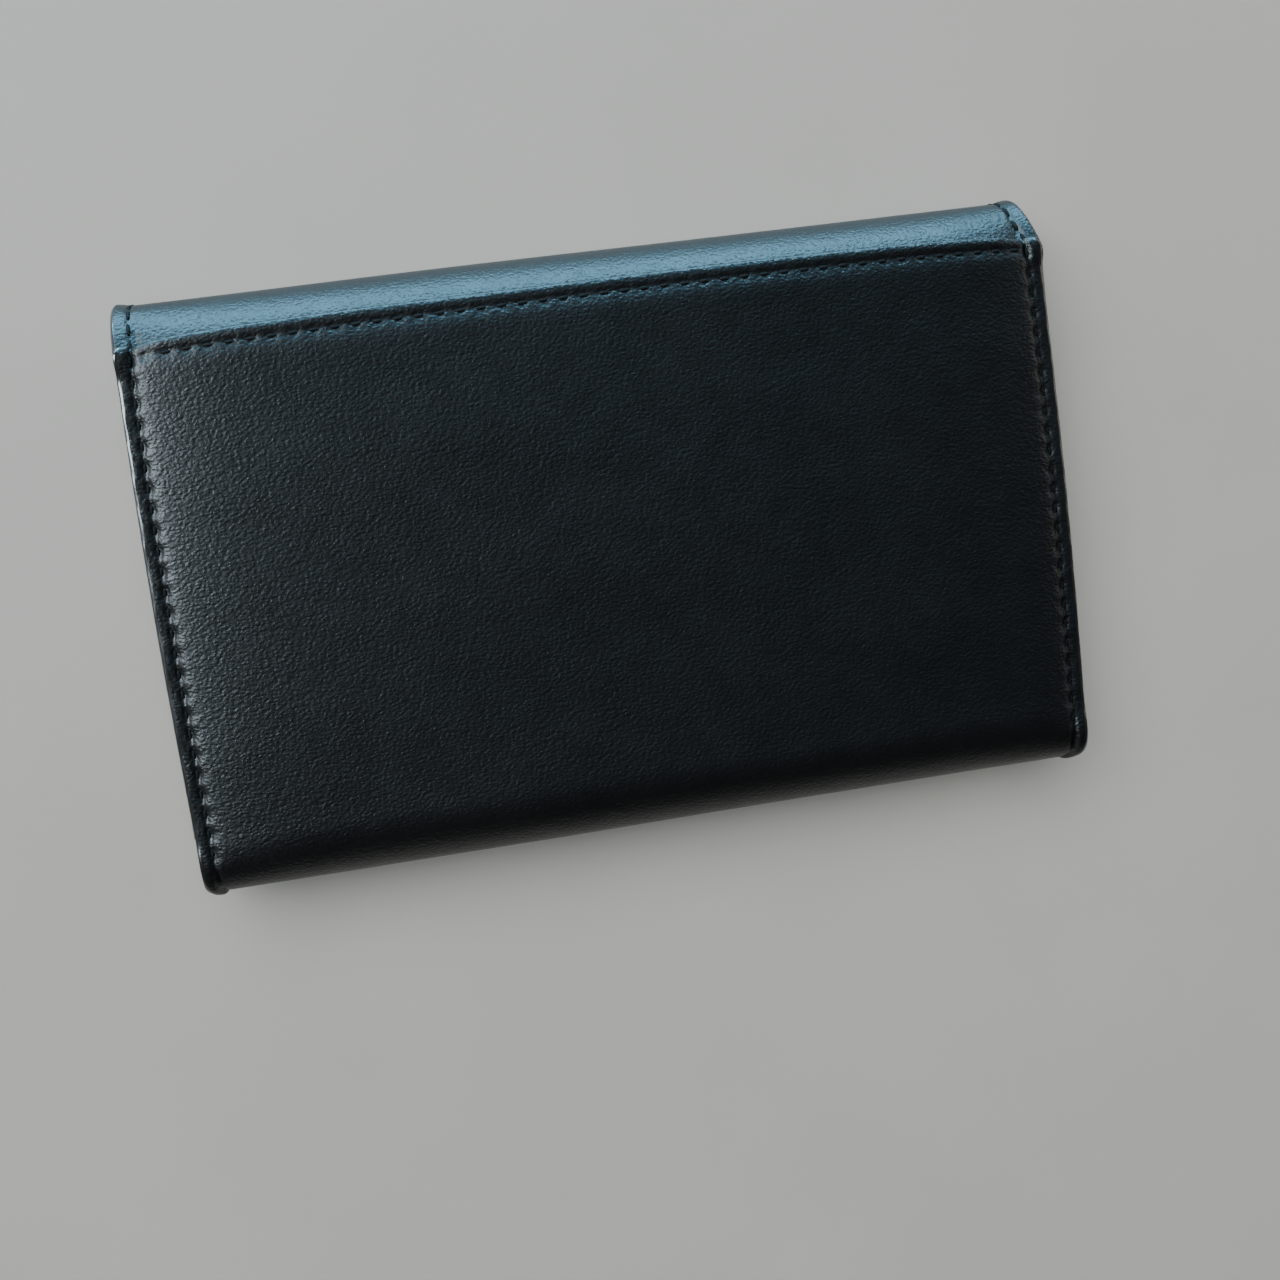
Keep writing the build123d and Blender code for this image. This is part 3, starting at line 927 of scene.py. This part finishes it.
PLEAT_DEPTH = 3.7 * MM
CLOTH_HALF = 0.12 * MM


def make_gussets():
    """Bellows each side: one pleat of cloth between each body and the next."""
    low_y, high_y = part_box("left_gusset")[0].y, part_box("left_gusset")[1].y
    rows = capped(np.linspace(low_y, high_y, 40), True, True)
    root_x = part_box("leaf_1")[1].x + 0.1 * MM
    for side, side_name in ((-1, "left"), (1, "right")):
        for k in range(1, len(BODIES)):
            t = np.linspace(0, 1, 25)
            gap = LEVELS[k] - LEVELS[k - 1]
            x = root_x + PLEAT_DEPTH * np.sin(math.pi * t) ** 0.7
            z = LEVELS[k - 1] + gap * (0.06 + 0.88 * t)
            if k == 1:
                x = np.where(t < 0.5, root_x + PLEAT_DEPTH, x)
            if k == len(BODIES) - 1:
                x = np.where(t > 0.5, root_x + PLEAT_DEPTH, x)
            dx, dz = np.gradient(x), np.gradient(z)
            size = np.hypot(dx, dz)
            nx, nz = dz / size * CLOTH_HALF, -dx / size * CLOTH_HALF
            share = rounded(np.minimum(t, 1 - t), 0.08)
            wave = 0.06 * MM * wobble(rows[:, None], t[None, :] * 0.01, k + side, 300)
            grids = []
            for way in (1, -1):
                px = side * (x + way * nx * share)[None, :] + wave
                pz = (z + way * nz * share)[None, :] + 0 * wave
                py = rows[:, None] + 0 * px
                grids.append(np.stack([px, py, pz], -1))
            if side < 0:
                grids = grids[::-1]
            piece = shell(f"{side_name}_pleat_{k}", grids[0], grids[1], [GUSSET] * 3, rim=1)
            if k == 4:
                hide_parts(f"{side_name}_gusset")
            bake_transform(piece)


def make_snap():
    """Cap and socket of the snap on the flap, stud and post on the front."""
    centre = (0, SNAP_Y)
    cap_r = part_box("snap_cap")[1].x
    cap = [(0.2 * MM, 0.1 * MM), (cap_r - 1.2 * MM, 0.03 * MM), (cap_r - 0.5 * MM, 0.08 * MM)]
    cap += [(cap_r, 0.45 * MM), (cap_r - 0.2 * MM, 0.6 * MM), (0.2 * MM, 0.6 * MM)]
    piece = lathe("snap_cap_lacquered", cap, centre, [LACQUER])
    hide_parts("snap_cap")
    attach(piece, "flap")
    low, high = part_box("snap_socket")[0].z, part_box("snap_socket")[1].z
    outer_r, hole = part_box("snap_socket")[1].x, 2.3 * MM
    ring = [(hole, low), (outer_r - 0.3 * MM, low), (outer_r, low + 0.25 * MM)]
    ring += [(outer_r - 0.5 * MM, high - 0.45 * MM), (hole + 0.9 * MM, high - 0.3 * MM)]
    ring += [(hole + 0.6 * MM, high), (hole + 0.1 * MM, high - 0.05 * MM), (hole, low + 0.1 * MM)]
    socket = lathe("snap_socket_ring", ring, centre, [STEEL])
    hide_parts("snap_socket")
    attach(socket, "flap")
    low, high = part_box("snap_stud")[0].z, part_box("snap_stud")[1].z
    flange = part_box("snap_stud")[1].x
    stud = [(0.2 * MM, high), (flange, high), (flange - 0.15 * MM, high - 0.22 * MM)]
    stud += [(2.1 * MM, high - 0.3 * MM), (1.5 * MM, high - 0.5 * MM), (1.8 * MM, low + 0.25 * MM)]
    stud += [(1.3 * MM, low + 0.03 * MM), (0.2 * MM, low)]
    piece = lathe("snap_stud_head", stud, centre, [STEEL])
    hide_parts("snap_stud")
    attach(piece, "front")


def finish_cad_nodes():
    """Materials of the CAD nodes that stay: linings, boards, foams, leaves and the post."""
    kinds = {"back_lining": LINING, "front_lining": LINING, "snap_post": STEEL}
    kinds.update({f"{side}_foam": FOAM for side in ("front", "back")})
    kinds.update({f"{side}_board": BOARD for side in ("front", "back")})
    kinds.update({name: POCKET for name in BODIES[1:-1]})
    for name, material in kinds.items():
        mesh = frame["nodes"][name].data
        mesh.materials.clear()
        mesh.materials.append(material)


# ---------------------------------------------------------------- studio


CAMERA_PLACE = Vector((-22.57, 11.22, 210.06)) * MM
CAMERA_AIM = Vector((0.18, -12.3, 17.0)) * MM
CAMERA_ROLL = math.radians(7.58)
CAMERA_LENS = 44.06
FLOOR_HALF = 3.0
FLOOR_GAP = 0.05 * MM


def make_camera():
    """Camera at the photograph's viewing angle."""
    forward = (CAMERA_AIM - CAMERA_PLACE).normalized()
    up_hint = Vector((math.sin(CAMERA_ROLL), math.cos(CAMERA_ROLL), 0))
    right = forward.cross(up_hint).normalized()
    up = right.cross(forward)
    data = bpy.data.cameras.new("camera")
    data.lens = CAMERA_LENS
    data.sensor_width = 36.0
    data.clip_start = 0.01
    camera = bpy.data.objects.new("camera", data)
    turn = Matrix((right, up, -forward)).transposed().to_4x4()
    camera.matrix_world = Matrix.Translation(CAMERA_PLACE) @ turn
    bpy.context.scene.collection.objects.link(camera)
    bpy.context.scene.camera = camera


def area_light(name, place, aim, size, energy, colour, on_floor=True, in_gloss=True):
    """Rectangular light, which may leave out diffuse surfaces or glossy reflections."""
    data = bpy.data.lights.new(name, "AREA")
    data.shape = "RECTANGLE"
    data.size, data.size_y = size
    data.energy = energy
    data.color = colour
    light = bpy.data.objects.new(name, data)
    light.location = place
    light.rotation_euler = (Vector(aim) - Vector(place)).to_track_quat("-Z", "Y").to_euler()
    light.visible_diffuse, light.visible_glossy = on_floor, in_gloss
    bpy.context.scene.collection.objects.link(light)


def make_floor():
    """Plain floor just under the card holder."""
    half, z = FLOOR_HALF, -FLOOR_GAP
    corners = [(-half, -half, z), (half, -half, z), (half, half, z), (-half, half, z)]
    make_object("floor", corners, [(0, 1, 2, 3)], [floor_material()])


def make_lights():
    """Cool window beyond the flap's fold, softer side light, ceiling and a dim world."""
    area_light("window", place=(-0.05, 0.75, 0.17), aim=(0, 0, 0.02), size=(1.2, 0.34),
               energy=30.5, colour=(0.3, 0.71, 1.0), on_floor=False)
    area_light("side", place=(-0.9, 0.3, 0.58), aim=(0, 0, 0), size=(0.5, 0.7),
               energy=25, colour=(0.8, 0.93, 1.0), on_floor=False)
    area_light("ceiling", place=(-0.3, 0.4, 1.0), aim=(0, 0, 0), size=(1.0, 1.0),
               energy=19, colour=(0.93, 0.98, 1.0), in_gloss=False)
    area_light("fill", place=(0.85, 0.35, 0.25), aim=(0, 0, 0), size=(0.9, 0.3),
               energy=1.5, colour=(1.0, 0.96, 0.9))
    world = bpy.data.worlds.new("world")
    world.use_nodes = True
    background = world.node_tree.nodes["Background"]
    background.inputs["Color"].default_value = (0.95, 0.97, 1.0, 1)
    background.inputs["Strength"].default_value = 0.04
    bpy.context.scene.world = world


make_camera()
make_back_cover(body_columns(0.5 * MM))
make_bottom_fold(body_columns(1.0 * MM))
make_front_cover(body_columns(1.0 * MM))
make_flap()
make_body_stitches()
make_flap_stitches()
make_gussets()
make_snap()
finish_cad_nodes()
make_floor()
make_lights()
